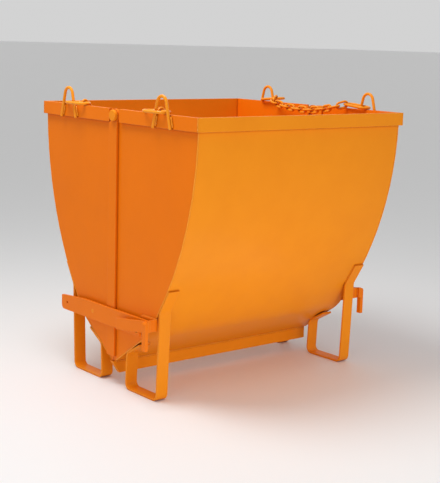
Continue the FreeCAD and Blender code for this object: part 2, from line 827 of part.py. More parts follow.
def front_half():
    nodes = {"front_wall": mirrored(side_wall(front_half_length - sheet), LEFT, FRONT),
             "front_rim_side": mirrored(rim_side(front_half_length), LEFT, FRONT),
             "front_lip": mirrored(lip(front_half_length), LEFT, FRONT)}
    for name, end in ENDS:
        nodes["front_end_plate_" + name] = mirrored(end_plate(front_half_length), end, FRONT)
        nodes["front_rim_end_" + name] = mirrored(rim_end(front_half_length), end, FRONT)
        nodes["front_loop_" + name] = mirrored(lifting_loop(front_half_length), end, FRONT)
        nodes["front_foot_" + name] = mirrored(foot(), end, FRONT)
        nodes["hinge_lug_" + name] = mirrored(hinge_lug(), end)
        nodes["catch_bracket_" + name] = mirrored(catch_bracket(), end)
        nodes["catch_pin_" + name] = mirrored(catch_pin(), end)
        nodes["catch_strap_" + name] = mirrored(catch_strap(), end)
        nodes["catch_post_" + name] = mirrored(catch_post(), end)
    return nodes


def levers():
    nodes = {}
    for name, end in ENDS:
        nodes["latch_lever_" + name] = mirrored(lever(), end)
        nodes["lever_pin_" + name] = mirrored(lever_pin(), end)
        nodes["lever_washer_" + name] = mirrored(
            washer(lever_stack, lever_pin_radius, lever_pivot_place, lever_pivot_height), end)
        nodes["lever_cotter_" + name] = mirrored(
            cotter(lever_stack, lever_pin_radius, lever_pivot_place, lever_pivot_height), end)
    return nodes


def slings():
    nodes = {}
    for name, end in ENDS:
        tilt = raised_ring_tilt if end == RIGHT else 0
        nodes["rear_sling_link_" + name] = mirrored(sling_link(shell_half_length, tilt), end)
        nodes["front_sling_link_" + name] = mirrored(sling_link(shell_half_length, tilt), end, FRONT)
    nodes["chain_right"] = right_chain()
    nodes["chain_left"] = left_chain()
    return nodes


def main():
    os.makedirs("parts", exist_ok=True)
    nodes = {}
    for group in (rear_half(), front_half(), levers(), slings()):
        nodes.update(group)
    for name, shape in nodes.items():
        if not shape.isValid():
            raise RuntimeError(name + " is not a valid solid")
        shape.exportStep("parts/" + name + ".step")
    print(len(nodes), "nodes")


main()
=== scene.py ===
import math

import bpy
import numpy as np
from bpy.props import FloatProperty, FloatVectorProperty, PointerProperty
from mathutils import Matrix, Vector


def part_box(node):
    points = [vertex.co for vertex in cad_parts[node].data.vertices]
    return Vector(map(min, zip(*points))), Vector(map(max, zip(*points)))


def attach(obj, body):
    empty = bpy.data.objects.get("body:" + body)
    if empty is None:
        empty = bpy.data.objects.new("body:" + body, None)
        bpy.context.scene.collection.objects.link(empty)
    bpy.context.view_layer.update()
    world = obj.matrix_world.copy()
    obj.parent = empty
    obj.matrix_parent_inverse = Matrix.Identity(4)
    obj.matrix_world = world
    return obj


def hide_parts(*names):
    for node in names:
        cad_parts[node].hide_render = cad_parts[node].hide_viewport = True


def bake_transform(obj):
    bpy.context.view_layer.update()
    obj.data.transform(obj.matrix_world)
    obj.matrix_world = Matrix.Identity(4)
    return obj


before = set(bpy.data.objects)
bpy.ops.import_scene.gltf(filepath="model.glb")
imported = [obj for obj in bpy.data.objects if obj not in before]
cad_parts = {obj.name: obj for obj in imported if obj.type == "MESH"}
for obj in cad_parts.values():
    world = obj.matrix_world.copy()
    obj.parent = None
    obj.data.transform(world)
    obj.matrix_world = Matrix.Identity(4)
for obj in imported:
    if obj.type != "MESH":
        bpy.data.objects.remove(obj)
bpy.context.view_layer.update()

bl_info = {
    "name": "Hoist bucket",
    "version": (1, 0, 0),
    "blender": (4, 5, 0),
    "location": "View3D > Sidebar > Bucket",
    "description": "Paint, welds, chains, links and split pins of a clamshell hoist bucket",
    "category": "Object",
}


RIM_LOW, RIM_HIGH = (np.array(corner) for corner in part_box("rear_rim_side"))
PLATE_LOW, PLATE_HIGH = (np.array(corner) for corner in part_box("rear_end_plate_left"))

# Places read from the CAD frame, in metres. Pieces are drawn for the left end of the rear half (-X and +Y).
RIM_TOP, RIM_BOTTOM = float(RIM_HIGH[2]), float(RIM_LOW[2])
LIP_TOP = float(PLATE_LOW[2])
WALL_DEPTH = float(PLATE_HIGH[1])
SHELL_END = {"rear": -float(PLATE_LOW[0]), "front": -float(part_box("front_end_plate_left")[0].x)}
LIP_FACE = float(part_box("rear_lip")[1].y)

# The wall's outline, as shares of its height and depth and of its straight runs, as the CAD has it.
ARC_HEIGHT, KNEE_HEIGHT, KNEE_DEPTH = 0.524, 0.140, 0.4135
ARC_OF_SLANT, ARC_OF_UPRIGHT, KNEE_OF_SLANT = 0.92, 0.95, 0.07

# Play of the links on the rim and beside the loops, in metres.
REST_GAP, LOOP_GAP = 0.0003, 0.0015

# How many chain links follow a long link, and up to which share of its half length the last one still bends.
HELD_LINKS, HELD_SHARE = 3, 0.6

# Steps round one bend and round the wire, of chain links and of long links.
CHAIN_STEPS, RING_STEPS = (9, 12), (25, 16)

# Steps along a link's side, round a bead and round a split pin's wire.
SIDE_STEPS, BEAD_SIDES, PIN_SIDES = 8, 8, 9

# Each ripple of a bead bows by this share of its pitch, and its height is counted from this level.
RIPPLE_BOW, RIPPLE_LEVEL = 0.35, 0.6

# The camera: view width and focal length in pixels, sensor in millimetres, place in metres, turns in degrees.
VIEW_WIDTH, FOCAL_LENGTH, SENSOR = 440, 1142.67, 36
CAMERA_PLACE = (-2.9398, -3.6065, 1.3423)
CAMERA_YAW, CAMERA_PITCH, CAMERA_ROLL = 50.68, 9.98, -1.62

# Each lamp's place, the point it looks at and its diameter, in metres.
MIDDLE = (0, 0, 0.55)
LAMPS = {"key": ((-0.4, -3.2, 0.45), MIDDLE, 1.4), "top": ((-1.0, 0.2, 3.0), MIDDLE, 1.4),
         "fill": ((-2.3, -1.5, 0.6), MIDDLE, 0.8), "card": ((0.05, -0.6, 0.005), (0.05, -0.5, 1.0), 0.9)}
FLOOR_REACH = 200

# The sign of Y of each half and of X of each end.
HALVES = {"rear": 1, "front": -1}
ENDS = {"left": -1, "right": 1}


def metres(name, text, value):
    return FloatProperty(name=name, description=text, default=value, min=0, unit="LENGTH", precision=5)


def level(name, text, value, **more):
    return FloatProperty(name=name, description=text, default=value, min=0, **more)


def colour(name, text, value):
    return FloatVectorProperty(name=name, description=text, subtype="COLOR", size=3, min=0, max=1,
                               default=value)


class BucketPaint(bpy.types.PropertyGroup):
    wall_colour: colour("Wall colour", "Paint on the long walls and the rim", (0.86, 0.275, 0.010))
    # Painted shade: one orange paint covers the whole bucket; this darker, redder copy stands in for the lesser
    # light on the end plates, and strips and latch parts take it too.
    shaded_plate_colour: colour("End plate colour", "Paint on the end plates", (0.85, 0.187, 0.003))
    bar_colour: colour("Bar colour", "Paint on feet, levers, lips and strips", (0.87, 0.265, 0.008))
    # Partly painted highlight: the beads' own orange, made lighter than the walls' so that the seams read as
    # lit lines.
    weld_highlight_colour: colour("Weld colour", "Paint on the weld beads", (0.90, 0.31, 0.014))
    wire_colour: colour("Wire colour", "Paint on loops, links and chains", (0.88, 0.30, 0.010))
    deep_colour: colour("Deep colour", "Paint where it lies thick or is dirty", (0.60, 0.11, 0.004))
    # Painted highlight: this lighter colour is mixed in along sharp edges, where rounded edges would catch the
    # light.
    edge_highlight_colour: colour("Thin colour", "Paint on edges, where it lies thin", (0.90, 0.52, 0.16))
    dust_colour: colour("Dust colour", "Fine dust on upward faces", (0.78, 0.40, 0.12))
    # Painted shade: narrow corners, such as under the rim and beside the strips, are darkened towards this
    # colour.
    crevice_shade_colour: colour("Crevice colour", "Thick paint and dirt in narrow corners", (0.45, 0.070, 0.002))
    edge_radius: metres("Edge radius", "How far edges look rounded", 0.0016)
    crevice_reach: metres("Crevice reach", "How near other faces must be to make a crevice", 0.009)
    crevice_shade_strength: level("Crevice dirt", "How strongly narrow corners are darkened", 0.7, max=1)


class BucketChain(bpy.types.PropertyGroup):
    wire_radius: metres("Wire radius", "Half the thickness of the chain's wire", 0.00475)
    link_width: metres("Link width", "Outer width of a chain link", 0.034)
    pitch: metres("Pitch", "Distance from one link's middle to the next", 0.0377)
    joint_gap: metres("Joint gap", "Play between two links", 0.0003)
    ring_wire_radius: metres("Long link wire radius", "Half the thickness of the long links' wire", 0.006)
    ring_length: metres("Long link length", "Outer length of a long link", 0.134)
    ring_width: metres("Long link width", "Outer width of a long link", 0.064)
    split_wire: metres("Split pin wire", "Thickness of one leg of a split pin", 0.0016)
    weld_swell: level("Weld swell", "How much thicker a link is at its weld", 0.14, max=0.5)


class BucketWeld(bpy.types.PropertyGroup):
    pitch: metres("Ripple pitch", "Distance from one ripple to the next", 0.0046)
    ripple: level("Ripple depth", "Ripple height as a share of the bead's radius", 0.22, max=1)
    wander: metres("Wander", "How far a hand-laid bead strays from its seam", 0.0004)
    rim_radius: metres("Rim bead", "Radius of the beads under the rim", 0.0018)
    seam_radius: metres("Seam bead", "Radius of the beads along the walls' edges", 0.0021)
    lip_radius: metres("Lip bead", "Radius of the beads over the lips", 0.0034)
    loop_radius: metres("Loop bead", "Radius of the beads beside the loops' legs", 0.0042)
    foot_radius: metres("Foot bead", "Radius of the beads round the feet's tabs", 0.0028)
    small_radius: metres("Small bead", "Radius of the beads at pins, bushes and brackets", 0.0022)


class BucketStage(bpy.types.PropertyGroup):
    world_level: level("World level", "Strength of the even light from all round", 0.56)
    backdrop_level: level("Backdrop level", "How bright the camera sees the backdrop", 0.65)
    key_power: level("Key lamp", "Power of the large lamp in front", 22, unit="POWER")
    fill_power: level("Fill lamp", "Power of the lamp at the left end", 4.8, unit="POWER")
    card_power: level("Card lamp", "Power of the lamp that lies on the floor in front", 1.7, unit="POWER")
    top_power: level("Top lamp", "Power of the lamp above the mouth", 50, unit="POWER")
    floor_shade: level("Floor shade", "Grey level of the floor", 0.88, max=1)


def settings(name):
    return getattr(bpy.context.scene, "bucket_" + name)


# Meshes

def grid_faces(rows, columns, rows_closed, columns_closed):
    """Quads of a grid numbered row by row. A closed direction joins its last line to its first."""
    row = np.arange(rows if rows_closed else rows - 1)[:, None]
    column = np.arange(columns if columns_closed else columns - 1)[None, :]
    next_row, next_column = (row + 1) % rows, (column + 1) % columns
    quads = np.stack(np.broadcast_arrays(row * columns + column, row * columns + next_column,
                                         next_row * columns + next_column, next_row * columns + column), -1)
    return quads.reshape(-1, 4)


def unit(vectors):
    return vectors / np.linalg.norm(vectors, axis=-1, keepdims=True)


def make_piece(name, parts, material):
    """One object from several surfaces, each given as (vertices, quads, triangles)."""
    vertices, faces, first = [], [], 0
    for points, quads, triangles in parts:
        vertices.append(points)
        faces += (quads + first).tolist()
        faces += (triangles + first).tolist()
        first += len(points)
    mesh = bpy.data.meshes.new(name)
    mesh.from_pydata(np.concatenate(vertices).tolist(), [], faces)
    mesh.validate()
    mesh.polygons.foreach_set("use_smooth", np.ones(len(mesh.polygons), bool))
    mesh.materials.append(material)
    piece = bpy.data.objects.new(name, mesh)
    bpy.context.scene.collection.objects.link(piece)
    return piece


NO_TRIANGLES = np.zeros((0, 3), int)


def flipped(part):
    """Turns the faces of a surface that was mirrored in one axis, so that its outside stays out."""
    points, quads, triangles = part
    return points, quads[:, ::-1], triangles[:, ::-1]


def placed(part, end, half):
    """A surface drawn for the left end of the rear half, mirrored to another end and half."""
    points, quads, triangles = part
    signs = np.array([-ENDS[end], HALVES[half], 1])
    part = points * signs, quads, triangles
    return flipped(part) if signs.prod() < 0 else part


def along(points, step):
    """A path resampled at even steps of its own length. Returns points and their distance from the start."""
    run = np.concatenate([[0], np.cumsum(np.linalg.norm(np.diff(points, axis=0), axis=1))])
    count = max(int(round(run[-1] / step)), 4) + 1
    distance = np.linspace(0, run[-1], count)
    return np.stack([np.interp(distance, run, points[:, axis]) for axis in range(3)], -1), distance


def end_caps(count, sides):
    """Triangles that close both ends of a tube of rings. The ends' middle points come after the rings."""
    column = np.arange(sides)
    last = (count - 1) * sides
    return np.concatenate([
        np.stack([np.full(sides, count * sides), (column + 1) % sides, column], -1),
        np.stack([np.full(sides, count * sides + 1), last + column, last + (column + 1) % sides], -1)])


def bead(points, facing, radius, seed=0.0, coarse=1.0):
    """A weld bead, closed at both ends. A coarse one has a longer pitch and is less even.

    At a distance s along the path and an angle a round it, the surface lies at radius times
    1 + ripple * (|sin(pi * p)| - RIPPLE_LEVEL), with p = s / pitch - RIPPLE_BOW * (1 - cos a), so that each
    ripple is a crescent that bows along the seam, and times a slow sum of sines of s, for the hand's
    unevenness. Near the ends it shrinks as a half circle.
    """
    weld = settings("weld")
    pitch = weld.pitch * coarse
    path, distance = along(np.asarray(points, float), pitch / 5)
    facing = unit(np.asarray(facing, float))
    tangent = unit(np.gradient(path, axis=0))
    crown = unit(facing - (tangent @ facing)[:, None] * tangent)
    side = np.cross(tangent, crown)
    angle = np.linspace(0, 2 * np.pi, BEAD_SIDES + 1)[:-1]
    ripple = np.abs(np.sin(np.pi * (distance[:, None] / pitch - RIPPLE_BOW * (1 - np.cos(angle)) + seed)))
    uneven = 1 + coarse * (0.07 * np.sin(distance * 97 + seed * 5)
                           + 0.05 * np.sin(distance * 231 + seed * 11))
    from_end = np.minimum(distance, distance[-1] - distance)
    taper = np.sqrt(np.clip(1 - np.clip(1 - from_end / (1.6 * radius), 0, 1) ** 2, 0.0004, 1))
    size = radius * (1 + weld.ripple * coarse * (ripple - RIPPLE_LEVEL)) * (uneven * taper)[:, None]
    stray = weld.wander * np.sin(distance * 61 + seed * 3) * taper
    centre = path + side * stray[:, None]
    rings = centre[:, None] + size[..., None] * (np.cos(angle)[:, None] * crown[:, None]
                                                 + np.sin(angle)[:, None] * side[:, None])
    count = len(path)
    vertices = np.concatenate([rings.reshape(-1, 3), path[:1], path[-1:]])
    return vertices, grid_faces(count, BEAD_SIDES, False, True), end_caps(count, BEAD_SIDES)


def ring_bead(centre, ring_radius, radius, seed=0.0):
    """A closed bead round a bar along X: a torus whose tube has the ripples of a straight bead."""
    weld = settings("weld")
    count = max(int(2 * np.pi * ring_radius / weld.pitch), 8)
    turn = np.linspace(0, 2 * np.pi, count * 5 + 1)[:-1]
    angle = np.linspace(0, 2 * np.pi, BEAD_SIDES + 1)[:-1]
    ripple = np.abs(np.sin(turn[:, None] * count / 2 + 0.5 * np.cos(angle) + seed))
    size = radius * (1 + weld.ripple * (ripple - RIPPLE_LEVEL))
    outward = np.stack([np.zeros_like(turn), np.cos(turn), np.sin(turn)], -1)
    x_axis = np.array([1.0, 0, 0])
    rings = (np.asarray(centre) + outward[:, None] * ring_radius
             + size[..., None] * (np.cos(angle)[:, None] * outward[:, None]
                                  + np.sin(angle)[:, None] * x_axis))
    return rings.reshape(-1, 3), grid_faces(len(turn), BEAD_SIDES, True, True)[:, ::-1], NO_TRIANGLES


def rounded_outline(corners, runs, steps):
    """An open outline whose inner corners are arcs that start and end a run away from the corner."""
    points = [corners[:1]]
    for index, run in enumerate(runs):
        corner = corners[index + 1]
        back, ahead = unit(corners[index] - corner), unit(corners[index + 2] - corner)
        half = math.acos(np.clip(back @ ahead, -1, 1)) / 2
        centre = corner + unit(back + ahead) * run / math.cos(half)
        start, finish = corner + back * run - centre, corner + ahead * run - centre
        turn = math.pi - 2 * half
        share = np.linspace(0, 1, steps)[:, None]
        arc = (np.sin((1 - share) * turn) * start + np.sin(share * turn) * finish) / math.sin(turn)
        points.append(centre + arc)
    points.append(corners[-1:])
    return np.concatenate(points)


def wall_outline():
    """Outer face of the wall from the rim to the lip as (y, z): an upright that goes over into one large arc,
    a small knee and a flat slant, as the CAD shell has."""
    height = RIM_TOP - LIP_TOP
    corners = np.array([(WALL_DEPTH, RIM_TOP), (WALL_DEPTH, LIP_TOP + ARC_HEIGHT * height),
                        (KNEE_DEPTH * WALL_DEPTH, LIP_TOP + KNEE_HEIGHT * height), (LIP_FACE, LIP_TOP)])
    slant = np.linalg.norm(corners[2] - corners[1])
    upright = corners[0, 1] - corners[1, 1]
    arc_run = min(ARC_OF_SLANT * slant, ARC_OF_UPRIGHT * upright)
    return rounded_outline(corners, (arc_run, KNEE_OF_SLANT * slant), 60)


def outline_between(top, bottom, count=120):
    """Points (y, z) of the wall's outer face between two heights."""
    outline = wall_outline()
    z = np.linspace(top, bottom, count)
    y = np.interp(-z, -outline[:, 1], outline[:, 0])
    return np.stack([y, z], -1)


def seam_path(x, yz):
    return np.column_stack([np.full(len(yz), x), yz])


# Materials

def add_node(tree, kind, inputs=None, **values):
    """A node with its properties set. An input is linked where its value is a socket, and else set."""
    node = tree.nodes.new(kind)
    for key, value in values.items():
        setattr(node, key, value)
    for key, value in (inputs or {}).items():
        if isinstance(value, bpy.types.NodeSocket):
            tree.links.new(value, node.inputs[key])
        else:
            node.inputs[key].default_value = value
    return node


def new_group(name, inputs, outputs):
    group = bpy.data.node_groups.new(name, "ShaderNodeTree")
    for label, kind, value in inputs:
        group.interface.new_socket(label, in_out="INPUT", socket_type=kind).default_value = value
    for label, kind in outputs:
        group.interface.new_socket(label, in_out="OUTPUT", socket_type=kind)
    return group, group.nodes.new("NodeGroupInput"), group.nodes.new("NodeGroupOutput")


def math_node(tree, operation, first, second, clamp=False):
    node = add_node(tree, "ShaderNodeMath", {0: first, 1: second}, operation=operation, use_clamp=clamp)
    return node.outputs[0]


def noise(tree, vector, scale, detail=3.0, roughness=0.5):
    return add_node(tree, "ShaderNodeTexNoise", {"Vector": vector, "Scale": scale, "Detail": detail,
                                                 "Roughness": roughness}).outputs["Fac"]


def spread(tree, value, low, high, out_low=0.0, out_high=1.0):
    return add_node(tree, "ShaderNodeMapRange", {"Value": value, "From Min": low, "From Max": high,
                                                 "To Min": out_low, "To Max": out_high}).outputs["Result"]


def mix_colours(tree, factor, first, second):
    return add_node(tree, "ShaderNodeMix", {0: factor, 6: first, 7: second}, data_type="RGBA").outputs[2]


def spray_group():
    """Sprayed enamel: fine orange peel, slow waves of the sheet and blotches where the coat is thicker.
    Noise scales are in features per metre, heights in metres."""
    peel_height, grain_height, wave_height = 0.00005, 0.00001, 0.0016
    group, given, made = new_group("sprayed_enamel", [("Waves", "NodeSocketFloat", 1.0)],
                                   [("Height", "NodeSocketFloat"), ("Thick", "NodeSocketFloat")])
    place = add_node(group, "ShaderNodeTexCoord").outputs["Object"]
    peel = noise(group, place, 520.0, 2.0)
    grain = noise(group, place, 1500.0, 1.0)
    waves = math_node(group, "MULTIPLY", noise(group, place, 4.5, 1.0), given.outputs["Waves"])
    height = math_node(group, "ADD", math_node(group, "MULTIPLY", peel, peel_height),
                       math_node(group, "MULTIPLY", grain, grain_height))
    height = math_node(group, "ADD", height, math_node(group, "MULTIPLY", waves, wave_height))
    group.links.new(height, made.inputs["Height"])
    thick = spread(group, noise(group, place, 7.0, 4.0, 0.6), 0.35, 0.7)
    group.links.new(thick, made.inputs["Thick"])
    return group


def edge_group():
    """Mask of sharp edges: 1 where the normal rounded over the radius leans away from the face's own."""
    group, given, made = new_group("edge_mask", [("Radius", "NodeSocketFloat", 0.0016)],
                                   [("Edge", "NodeSocketFloat"), ("Normal", "NodeSocketVector")])
    rounded = add_node(group, "ShaderNodeBevel", {"Radius": given.outputs["Radius"]}, samples=4).outputs[0]
    flat = add_node(group, "ShaderNodeNewGeometry").outputs["Normal"]
    lean = add_node(group, "ShaderNodeVectorMath", {0: rounded, 1: flat}, operation="DOT_PRODUCT")
    group.links.new(spread(group, lean.outputs["Value"], 1.0, 0.75), made.inputs["Edge"])
    group.links.new(rounded, made.inputs["Normal"])
    return group


def crevice_group():
    """Mask of narrow corners, for the painted shade: 1 where most of the space within the reach is filled by
    other faces.
    """
    group, given, made = new_group("crevice_mask", [("Reach", "NodeSocketFloat", 0.009)],
                                   [("Crevice", "NodeSocketFloat")])
    open_share = add_node(group, "ShaderNodeAmbientOcclusion", {"Distance": given.outputs["Reach"]},
                          samples=6).outputs["AO"]
    group.links.new(spread(group, open_share, 0.95, 0.55), made.inputs["Crevice"])
    return group


def dust_group():
    """Fine dust: more on faces that look up, broken up by noise, with a few dry specks."""
    group, given, made = new_group("settled_dust", [], [("Dust", "NodeSocketFloat")])
    place = add_node(group, "ShaderNodeTexCoord").outputs["Object"]
    normal = add_node(group, "ShaderNodeNewGeometry").outputs["Normal"]
    up = add_node(group, "ShaderNodeSeparateXYZ", {"Vector": normal}).outputs["Z"]
    facing = spread(group, up, 0.2, 1.0, 0.05, 1.0)
    clouds = spread(group, noise(group, place, 11.0, 6.0, 0.65), 0.45, 0.75)
    specks = spread(group, noise(group, place, 260.0, 2.0), 0.68, 0.76)
    both = math_node(group, "MAXIMUM", clouds, specks)
    group.links.new(math_node(group, "MULTIPLY", both, facing, clamp=True), made.inputs["Dust"])
    return group


def painted(name, colour_value, roughness, coat, waves, highlight_level, groups):
    """Enamel: a deeper tone where it lies thick, painted shade in narrow corners, a painted highlight along
    sharp edges, and dust.
    """
    paint = settings("paint")
    deep_share, dust_share, dust_roughness, roughness_play = 0.10, 0.08, 0.22, 0.04
    material = bpy.data.materials.new(name)
    material.use_nodes = True
    tree = material.node_tree
    shader = tree.nodes["Principled BSDF"]
    spray = add_node(tree, "ShaderNodeGroup", node_tree=groups["spray"])
    spray.inputs["Waves"].default_value = waves
    edge = add_node(tree, "ShaderNodeGroup", node_tree=groups["edge"])
    edge.inputs["Radius"].default_value = paint.edge_radius
    dust = add_node(tree, "ShaderNodeGroup", node_tree=groups["dust"])
    thick_and_shaded = mix_colours(tree, math_node(tree, "MULTIPLY", spray.outputs["Thick"], deep_share),
                       (*colour_value, 1), (*paint.deep_colour, 1))
    place = add_node(tree, "ShaderNodeTexCoord").outputs["Object"]
    # Painted highlight: sharp edges get a lighter colour, made patchy by noise, standing in for light caught by
    # rounded edges.
    highlight_noise = spread(tree, noise(tree, place, 90.0, 5.0, 0.7), 0.58, 0.66)
    highlight_strength = math_node(tree, "ADD", math_node(tree, "MULTIPLY", highlight_noise, 0.5), 0.5)
    edge_highlight = math_node(tree, "MULTIPLY", math_node(tree, "MULTIPLY", edge.outputs["Edge"], highlight_strength), highlight_level)
    # Painted shade: narrow corners are darkened towards the crevice colour, as if shadow fell there.
    crevice = add_node(tree, "ShaderNodeGroup", node_tree=groups["crevice"])
    crevice.inputs["Reach"].default_value = paint.crevice_reach
    crevice_shade = math_node(tree, "MULTIPLY", crevice.outputs["Crevice"], paint.crevice_shade_strength)
    thick_and_shaded = mix_colours(tree, crevice_shade, thick_and_shaded, (*paint.crevice_shade_colour, 1))
    highlighted = mix_colours(tree, edge_highlight, thick_and_shaded, (*paint.edge_highlight_colour, 1))
    dusty = mix_colours(tree, math_node(tree, "MULTIPLY", dust.outputs["Dust"], dust_share), highlighted,
                        (*paint.dust_colour, 1))
    tree.links.new(dusty, shader.inputs["Base Color"])
    dry = math_node(tree, "ADD", math_node(tree, "MULTIPLY", dust.outputs["Dust"], dust_roughness),
                    spread(tree, spray.outputs["Thick"], 0.0, 1.0, roughness + roughness_play,
                           roughness - roughness_play))
    tree.links.new(dry, shader.inputs["Roughness"])
    bump = add_node(tree, "ShaderNodeBump", {"Height": spray.outputs["Height"], "Strength": 1.0,
                                             "Distance": 1.0, "Normal": edge.outputs["Normal"]})
    tree.links.new(bump.outputs["Normal"], shader.inputs["Normal"])
    shader.inputs["Specular IOR Level"].default_value = 0.07
    shader.inputs["Coat Weight"].default_value = coat
    shader.inputs["Coat Roughness"].default_value = 0.12
    shader.inputs["Coat IOR"].default_value = 1.4
    return material


MATERIALS = {}


def make_materials():
    paint = settings("paint")
    groups = {"spray": spray_group(), "edge": edge_group(), "crevice": crevice_group(), "dust": dust_group()}
    for name, colour_value, roughness, coat, waves, highlight_level in (
            # The last number of each row sets how strongly its edges get the painted highlight.
            ("wall_enamel", paint.wall_colour, 0.36, 0.04, 1.0, 0.5),
            # The plate and latch paint take the painted-shade copy of the orange.
            ("plate_enamel", paint.shaded_plate_colour, 0.38, 0.03, 1.0, 0.8),
            ("bar_enamel", paint.bar_colour, 0.38, 0.05, 0.2, 0.7),
            ("latch_enamel", paint.shaded_plate_colour, 0.36, 0.08, 0.2, 0.8),
            ("wire_enamel", paint.wire_colour, 0.28, 0.35, 0.0, 0.8),
            ("pin_enamel", paint.bar_colour, 0.38, 0.06, 0.0, 0.9),
            # The weld paint is lighter as a painted highlight on the seams.
            ("weld_enamel", paint.weld_highlight_colour, 0.28, 0.35, 0.0, 0.3)):
        MATERIALS[name] = painted(name, colour_value, roughness, coat, waves, highlight_level, groups)


# The first row with a word that is in a node's name gives the node's paint.
PAINT_WORDS = (("wall_enamel", ("wall", "rim_side")), ("latch_enamel", ("latch", "catch")),
               ("plate_enamel", ("plate", "rim_end", "strip")), ("wire_enamel", ("loop", "sling", "chain")),
               ("pin_enamel", ("pin", "washer", "cotter", "bush")))


def material_for(node):
    for material, words in PAINT_WORDS:
        if any(word in node for word in words):
            return material
    return "bar_enamel"


class BUCKET_OT_paint(bpy.types.Operator):
    """Sprayed enamel on every piece of the CAD"""
    bl_idname = "bucket.paint"
    bl_label = "Paint"

    def execute(self, context):
        make_materials()
        for name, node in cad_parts.items():
            node.data.materials.clear()
            node.data.materials.append(MATERIALS[material_for(name)])
        return {"FINISHED"}


# Chains and long links

def oblong_links(centres, directions, normals, straight, bend_radius, wire_radius, steps):
    """Closed links of round wire, all in one array. Steps are those of one bend and those round the wire.

    The middle line is two straight sides and two half circles. At an angle a round the wire a point lies at
    the middle line plus wire_radius * (outward * cos a + normal * sin a). The wire is thicker round the
    middle of one straight side, by weld_swell * exp(-(s / wire_radius) ** 2), where the link was welded.
    """
    round_steps, wire_steps = steps
    turn = np.linspace(-np.pi / 2, np.pi / 2, round_steps)
    side = np.linspace(-0.5, 0.5, SIDE_STEPS + 2)[1:-1] * straight
    cos_turn, sin_turn = np.cos(turn), np.sin(turn)
    none, full = np.zeros(SIDE_STEPS), np.ones(SIDE_STEPS)
    out_x = np.concatenate([cos_turn, none, -cos_turn, none])
    out_y = np.concatenate([sin_turn, full, -sin_turn, -full])
    x = np.concatenate([straight / 2 + bend_radius * cos_turn, -side,
                        -straight / 2 - bend_radius * cos_turn, side])
    y = bend_radius * out_y
    on_weld_side = np.concatenate([np.zeros(2 * round_steps + SIDE_STEPS), full])
    swell = 1 + settings("chain").weld_swell * on_weld_side * np.exp(-(x / wire_radius) ** 2)
    angle = np.linspace(0, 2 * np.pi, wire_steps + 1)[:-1]
    radius = wire_radius * swell[:, None]
    flat = np.stack([x[:, None] + radius * out_x[:, None] * np.cos(angle),
                     y[:, None] + radius * out_y[:, None] * np.cos(angle),
                     radius * np.sin(angle)], -1).reshape(-1, 3)
    sideways = np.cross(normals, directions)
    frames = np.stack([directions, sideways, normals], 1)
    points = centres[:, None] + flat @ frames
    faces = grid_faces(len(x), wire_steps, True, True)
    count = len(centres)
    all_faces = (faces[None] + (np.arange(count) * len(flat))[:, None, None]).reshape(-1, 4)
    return points.reshape(-1, 3), all_faces, NO_TRIANGLES


def chain_sizes():
    """Lengths that follow from the chain's and the long links' sizes, as the CAD has them."""
    chain = settings("chain")
    sizes = {"bend": chain.link_width / 2 - chain.wire_radius,
             "ring_bend": chain.ring_width / 2 - chain.ring_wire_radius,
             "ring_axis": chain.ring_length - 2 * chain.ring_wire_radius}
    sizes["pivot_place"] = float(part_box("rear_sling_link_left")[1].y) - chain.ring_wire_radius
    sizes["pivot_height"] = RIM_TOP + chain.ring_wire_radius + REST_GAP
    sizes["chain_height"] = RIM_TOP + chain.link_width / 2 + REST_GAP
    sizes["tilt"] = math.asin((sizes["chain_height"] - sizes["pivot_height"]) / sizes["ring_axis"])
    sizes["straight"] = chain.pitch + chain.joint_gap + 2 * chain.wire_radius - 2 * sizes["bend"]
    sizes["joint"] = 2 * sizes["bend"] - 2 * chain.wire_radius - chain.joint_gap
    sizes["hook"] = sizes["bend"] - chain.wire_radius - chain.ring_wire_radius - chain.joint_gap
    return sizes


def ring_line(half):
    """Distance from X 0 of a long link's middle: loop bar, a little air, then the link's outer wire."""
    chain = settings("chain")
    loop_outside = -float(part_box(half + "_loop_left")[0].x)
    return loop_outside + LOOP_GAP + chain.ring_wire_radius - (chain.ring_width / 2 - chain.ring_wire_radius)


def ring_point(x, side, distance, tilt, sizes):
    return np.array([x + side, sizes["pivot_place"] - distance * math.cos(tilt),
                     sizes["pivot_height"] + distance * math.sin(tilt)])


def run_direction(heading, slope):
    return np.array([-math.sin(heading) * math.cos(slope), -math.cos(heading) * math.cos(slope),
                     -math.sin(slope)])


def hanging_half(start, headings, slope_step, sizes):
    """Links from the first to the middle one. Slopes fall evenly to zero at the middle, as in a hanging
    chain, upright and flat links take turns, and each joint takes its heading from the upright link and its
    slope from the flat one."""
    places, here, count = [], start, len(headings)
    for index, heading in enumerate(headings):
        slope = math.atan(slope_step * (count - 1 - index))
        direction = run_direction(heading, slope)
        standing = index % 2 == 0
        upright = np.array([math.cos(heading), -math.sin(heading), 0])
        places.append((here + direction * sizes["straight"] / 2, direction,
                       upright if standing else np.cross(direction, upright)))
        if index < count - 1:
            next_slope = math.atan(slope_step * (count - 2 - index))
            joint = (run_direction(heading, next_slope) if standing
                     else run_direction(headings[index + 1], slope))
            here = here + direction * sizes["straight"] + joint * sizes["joint"]
    return places


def settled(start, headings, sizes):
    """The slope for which the middle link lies on the centre plane, found by halving."""
    low, high = 0.0, 4.0
    for _ in range(60):
        step = (low + high) / 2
        if hanging_half(start, headings, step, sizes)[-1][0][1] < 0:
            low = step
        else:
            high = step
    return hanging_half(start, headings, step, sizes)


def both_halves(places):
    """All links from the rear end to the front end, the front ones mirrored in the centre plane."""
    mirror = np.array([1, -1, 1])
    return list(places) + [tuple(part * mirror for part in place) for place in places[-2::-1]]


